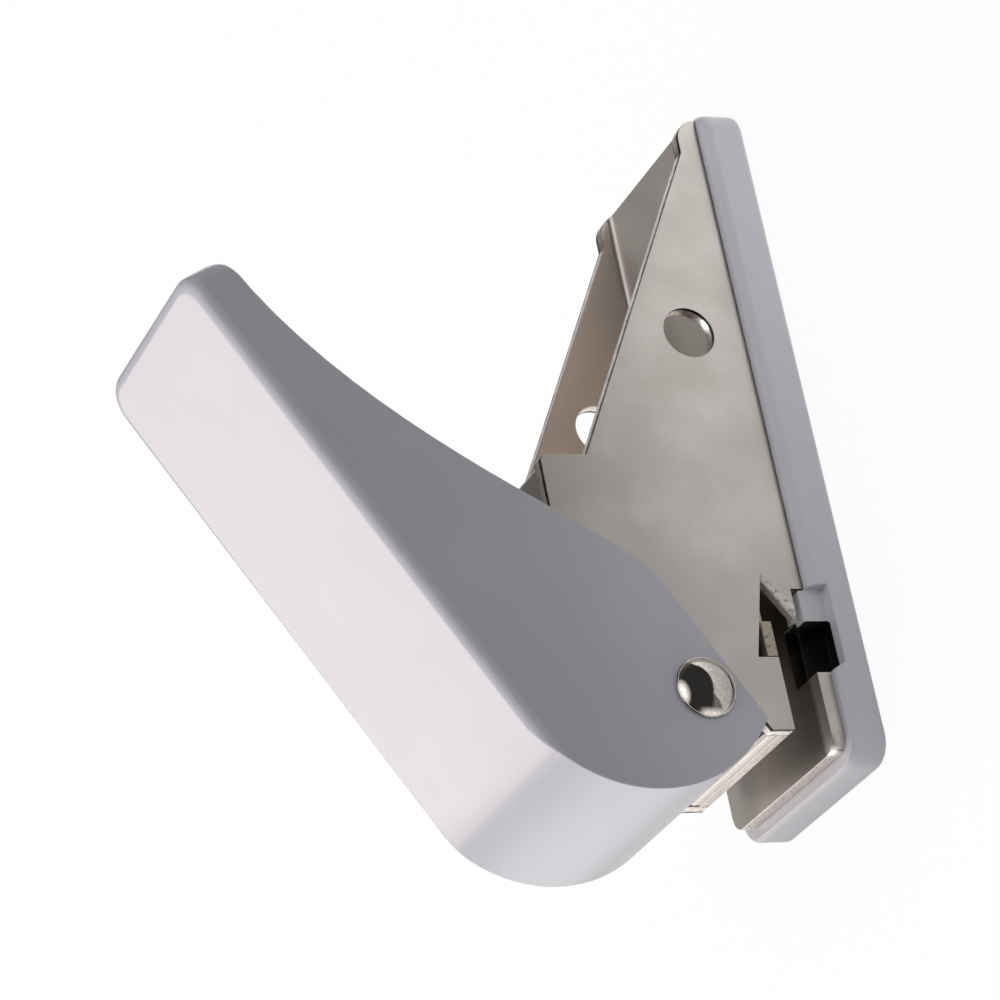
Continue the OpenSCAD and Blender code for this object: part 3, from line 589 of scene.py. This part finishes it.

# return spring: round wire wound as a helix; the real spring shortens as the punch goes down
springParts = {
    "wire": 0.35 * mm, "coil": 3.2 * mm, "turns": 6, "wireSides": 14, "stepsPerTurn": 40,
    "smooth": math.radians(40),
}
springLow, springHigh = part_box("return_spring")
plungerLow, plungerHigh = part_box("punch_plunger")
punchX = (plungerLow.x + plungerHigh.x) / 2
wire = springParts["wire"]
bpy.ops.object.select_all(action="DESELECT")
bpy.ops.mesh.primitive_circle_add(
    vertices=springParts["wireSides"], radius=wire, fill_type="NGON",
    location=(springParts["coil"], 0, 0), rotation=(math.pi / 2, 0, 0))
springCoil = bpy.context.object
springCoil.name = springCoil.data.name = "springCoil"
bpy.ops.object.transform_apply(location=True, rotation=True, scale=True)
wind = springCoil.modifiers.new("winding", "SCREW")
wind.axis = "Z"
wind.iterations = springParts["turns"]
wind.screw_offset = (springHigh.z - springLow.z - 2 * wire) / springParts["turns"]
wind.angle = 2 * math.pi
wind.steps = wind.render_steps = springParts["stepsPerTurn"]
wind.use_merge_vertices = False
bpy.ops.object.modifier_apply(modifier=wind.name)
springCoil.data.transform(Matrix.Translation((punchX, 0, springLow.z + wire)))
openAll(springCoil)
bpy.ops.mesh.remove_doubles(threshold=sameSpot["turned"])
bpy.ops.mesh.fill_holes(sides=springParts["wireSides"])  # ends of the wire
bpy.ops.mesh.normals_make_consistent(inside=False)
bpy.ops.object.mode_set(mode="OBJECT")
bpy.ops.object.shade_smooth_by_angle(angle=springParts["smooth"])
springCoil.data.materials.append(springSteel)
standFor(springCoil, "return_spring", "base")
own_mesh(springCoil)

# pale floor for the camera, and a white card under the object that throws light up at it, more at the nose
floorParts = {
    "size": 8.0, "place": Vector((0, 0, -0.02)) * mm, "tone": "#f4f4f4", "share": 0.06, "rough": 0.95,
    "glow": 1.04,
}
cardParts = {
    "size": 300 * mm, "place": Vector((112, 100, -0.04)) * mm, "tone": "#f4f4f4", "share": 0.55,
    "rough": 0.95, "glowAlong": (-30 * mm, 20 * mm, 0.24, 0.62),
}


def flatSheet(name, parts):
    material, tree, spot = newMaterial(name)
    tone = hexColour(parts["tone"])
    shader = addNode(tree, "ShaderNodeBsdfPrincipled", {}, {
        "Base Color": [c * parts["share"] for c in tone[:3]] + [1.0], "Roughness": parts["rough"],
        "Specular IOR Level": 0.0, "Emission Color": tone, "Emission Strength": parts.get("glow", 0.0)})
    if "glowAlong" in parts:
        along = addNode(tree, "ShaderNodeSeparateXYZ", links={"Vector": spot}).outputs["X"]
        glow = addNode(tree, "ShaderNodeMapRange", {}, dict(zip(rangeEnds, parts["glowAlong"])), {
            "Value": along}).outputs["Result"]
        tree.links.new(glow, shader.inputs["Emission Strength"])
    addNode(tree, "ShaderNodeOutputMaterial", links={"Surface": shader.outputs["BSDF"]})
    bpy.ops.object.select_all(action="DESELECT")
    bpy.ops.mesh.primitive_plane_add(size=parts["size"], location=(0, 0, 0))
    sheet = bpy.context.object
    sheet.name = sheet.data.name = name
    sheet.data.transform(Matrix.Translation(parts["place"]))
    sheet.data.materials.append(material)
    return sheet


tableTop = flatSheet("tableTop", floorParts)
tableTop.visible_diffuse = tableTop.visible_glossy = tableTop.visible_transmission = False
tableTop.visible_shadow = False
whiteCard = flatSheet("whiteCard", cardParts)
whiteCard.visible_camera = False
print("floor and card laid")

# soft studio light: a wide box behind the punch end, and a weak one in front that the metal doesn't mirror
lights = {
    "keyBox": {
        "from": (-0.20, 0.49, 0.46), "size": 0.50, "watts": 2.5, "tint": "#fff7f4", "inGloss": True},
    "frontFill": {
        "from": (0.15, -0.55, 0.25), "size": 0.50, "watts": 0.72, "tint": "#fdfcff", "inGloss": False},
}
target = Vector((-2, 0, 20)) * mm  # about the middle of the part
for name, light in lights.items():
    lamp = bpy.data.lights.new(name, "AREA")
    lamp.size = light["size"]
    lamp.energy = light["watts"]
    lamp.color = hexColour(light["tint"])[:3]
    holder = bpy.data.objects.new(name, lamp)
    holder.location = light["from"]
    holder.rotation_euler = (target - Vector(light["from"])).to_track_quat("-Z", "Y").to_euler()
    holder.visible_glossy = light["inGloss"]
    scene.collection.objects.link(holder)

# the room: dark in front and paler behind, with a pale ceiling, an apron below and a pale wall at the heel
wall = {
    "tint": "#f6f4f4", "sweep": (-0.25, 0.35, 0.04, 0.16), "ceiling": (0.72, 0.92, 0, 1.8),
    "apron": (-0.30, -0.48, 0, 0.20), "heelWay": (-0.85, 0.5, 0.0), "heelSide": (0.40, 0.80, 0, 1.8),
    "heelLow": (0.30, -0.10, 0, 1),
}
surround = bpy.data.worlds.new("studioSurround")
surround.use_nodes = True
wallTree = surround.node_tree
wallPlace = addNode(wallTree, "ShaderNodeTexCoord").outputs["Generated"]
wallSides = addNode(wallTree, "ShaderNodeSeparateXYZ", links={"Vector": wallPlace}).outputs
towardsHeel = addNode(wallTree, "ShaderNodeVectorMath", {"operation": "DOT_PRODUCT"}, {1: wall["heelWay"]}, {
    0: wallPlace}).outputs["Value"]
allGlow, ceiling, apron, heelSide, heelLow = [
    addNode(wallTree, "ShaderNodeMapRange", {}, dict(zip(rangeEnds, wall[part])), {
        "Value": way}).outputs["Result"]
    for part, way in (
        ("sweep", wallSides["Y"]), ("ceiling", wallSides["Z"]), ("apron", wallSides["Z"]),
        ("heelSide", towardsHeel), ("heelLow", wallSides["Z"]))]
heelGlow = addNode(wallTree, "ShaderNodeMath", {"operation": "MULTIPLY"}, {}, {0: heelSide, 1: heelLow})
for glow in (ceiling, apron, heelGlow.outputs["Value"]):
    allGlow = addNode(wallTree, "ShaderNodeMath", {"operation": "ADD"}, {}, {
        0: allGlow, 1: glow}).outputs["Value"]
backdrop = wallTree.nodes["Background"]
backdrop.inputs["Color"].default_value = hexColour(wall["tint"])
wallTree.links.new(allGlow, backdrop.inputs["Strength"])
scene.world = surround
scene.view_settings.view_transform = "Standard"

# camera where the picture was taken from, rolled so that the nose points up
cameraParts = {
    "place": Vector((-132.33, -259.18, 158.94)) * mm, "lens": 136.8, "sensor": 36.0, "clip": (0.01, 50),
    "right": Vector((-0.179, -0.378, -0.908)), "back": Vector((-0.406, -0.812, 0.418)),
}
cameraData = bpy.data.cameras.new("camera")
cameraData.lens = cameraParts["lens"]
cameraData.sensor_width = cameraParts["sensor"]
cameraData.clip_start, cameraData.clip_end = cameraParts["clip"]
backward = cameraParts["back"].normalized()
right = (cameraParts["right"] - backward * cameraParts["right"].dot(backward)).normalized()
upward = backward.cross(right)
camera = bpy.data.objects.new("camera", cameraData)
turn = Matrix((right, upward, backward)).transposed().to_4x4()
camera.matrix_world = Matrix.Translation(cameraParts["place"]) @ turn
scene.collection.objects.link(camera)
scene.camera = camera
print("camera and light set")

bpy.context.view_layer.update()
